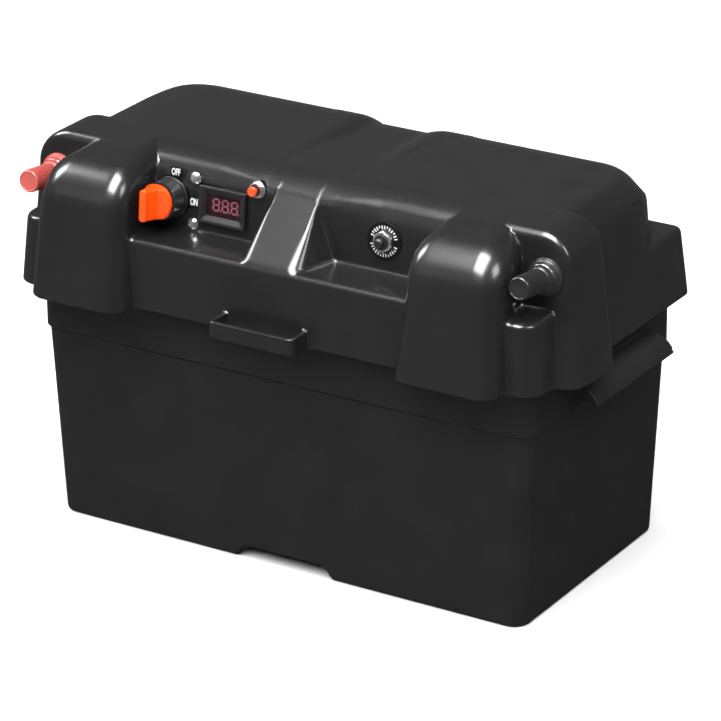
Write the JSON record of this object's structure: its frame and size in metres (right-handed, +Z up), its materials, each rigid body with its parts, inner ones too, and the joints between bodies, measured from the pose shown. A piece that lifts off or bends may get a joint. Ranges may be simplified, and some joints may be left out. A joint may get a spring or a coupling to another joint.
{
  "type": "battery box",
  "caption": "Portable battery box: deep tray with end handles and a lift-off domed lid carrying an isolator, voltmeter, breaker and two screw terminals.",
  "frame": {"origin": "middle of the overall bounding box, on the floor plane under the tray", "axes": "+X along the long side to the right seen from the front, -Y towards the front with the controls, +Z up"},
  "size_m": [0.42, 0.2408, 0.261],
  "materials": {
    "tray_plastic": "satin moulded",
    "lid_plastic": "glossy moulded",
    "black_plastic": "satin",
    "orange_plastic": "glossy",
    "red_plastic": "glossy",
    "button_plastic": "glossy",
    "label": "printed",
    "window": "red tint",
    "digits": "unlit red",
    "board": "lacquered",
    "chrome": "polished",
    "steel": "plated",
    "brass": "plain"
  },
  "bodies": {
    "box": {"tray": "tray_plastic"},
    "lid": {"lid": "lid_plastic", "isolator_body": "black_plastic", "isolator_ring": "black_plastic", "isolator_posts": "brass", "isolator_nuts": "steel", "panel_screws": "chrome", "off_plate": "label", "on_plate": "label", "meter_bezel": "black_plastic", "meter_window": "window", "meter_digits": "digits", "meter_board": "board", "meter_body": "black_plastic", "button_body": "black_plastic", "button_nut": "chrome", "button_pins": "brass", "breaker_body": "black_plastic", "breaker_label": "label", "breaker_nut": "chrome", "breaker_tabs": "brass", "red_base": "red_plastic", "red_stud": "steel", "red_inner_nut": "steel", "black_base": "black_plastic", "black_stud": "steel", "black_inner_nut": "steel"},
    "isolator_handle": {"isolator_knob": "orange_plastic", "isolator_contact": "brass"},
    "display_button": {"button_cap": "button_plastic"},
    "reset_button": {"breaker_button": "black_plastic"},
    "red_clamp": {"red_washer": "steel"},
    "red_grip": {"red_knob": "red_plastic"},
    "black_clamp": {"black_washer": "steel"},
    "black_grip": {"black_knob": "black_plastic"}
  },
  "joints": [
    {"name": "lid_lift", "type": "slide", "parent": "box", "child": "lid", "axis": [0, 0, 1], "range_m": [0, 0.15]},
    {"name": "isolator_turn", "type": "hinge", "parent": "lid", "child": "isolator_handle", "pos_m": [-0.0943, -0.0649, 0.232], "axis": [0, 0.9945, -0.1045], "range_deg": [0, 90]},
    {"name": "display_push", "type": "slide", "parent": "lid", "child": "display_button", "axis": [0, 0.9945, -0.1045], "range_m": [0, 0.002], "stiffness_N_per_m": 400, "springref_m": -0.001},
    {"name": "reset_travel", "type": "slide", "parent": "lid", "child": "reset_button", "axis": [0, -0.9945, 0.1045], "range_m": [0, 0.004]},
    {"name": "red_travel", "type": "slide", "parent": "lid", "child": "red_clamp", "axis": [0, -0.9945, 0.1045], "range_m": [0, 0.005]},
    {"name": "red_turn", "type": "hinge", "parent": "red_clamp", "child": "red_grip", "pos_m": [-0.1815, -0.06673, 0.23369], "axis": [0, -0.9945, 0.1045], "range_deg": [0, 1440.5]},
    {"name": "black_travel", "type": "slide", "parent": "lid", "child": "black_clamp", "axis": [0, -0.9945, 0.1045], "range_m": [0, 0.005]},
    {"name": "black_turn", "type": "hinge", "parent": "black_clamp", "child": "black_grip", "pos_m": [0.1815, -0.06673, 0.23369], "axis": [0, -0.9945, 0.1045], "range_deg": [0, 1440.5]}
  ],
  "couplings": [
    {"joint": "red_turn", "follows": "red_travel", "rad_per_m": 5026.5},
    {"joint": "black_turn", "follows": "black_travel", "rad_per_m": 5026.5}
  ]
}
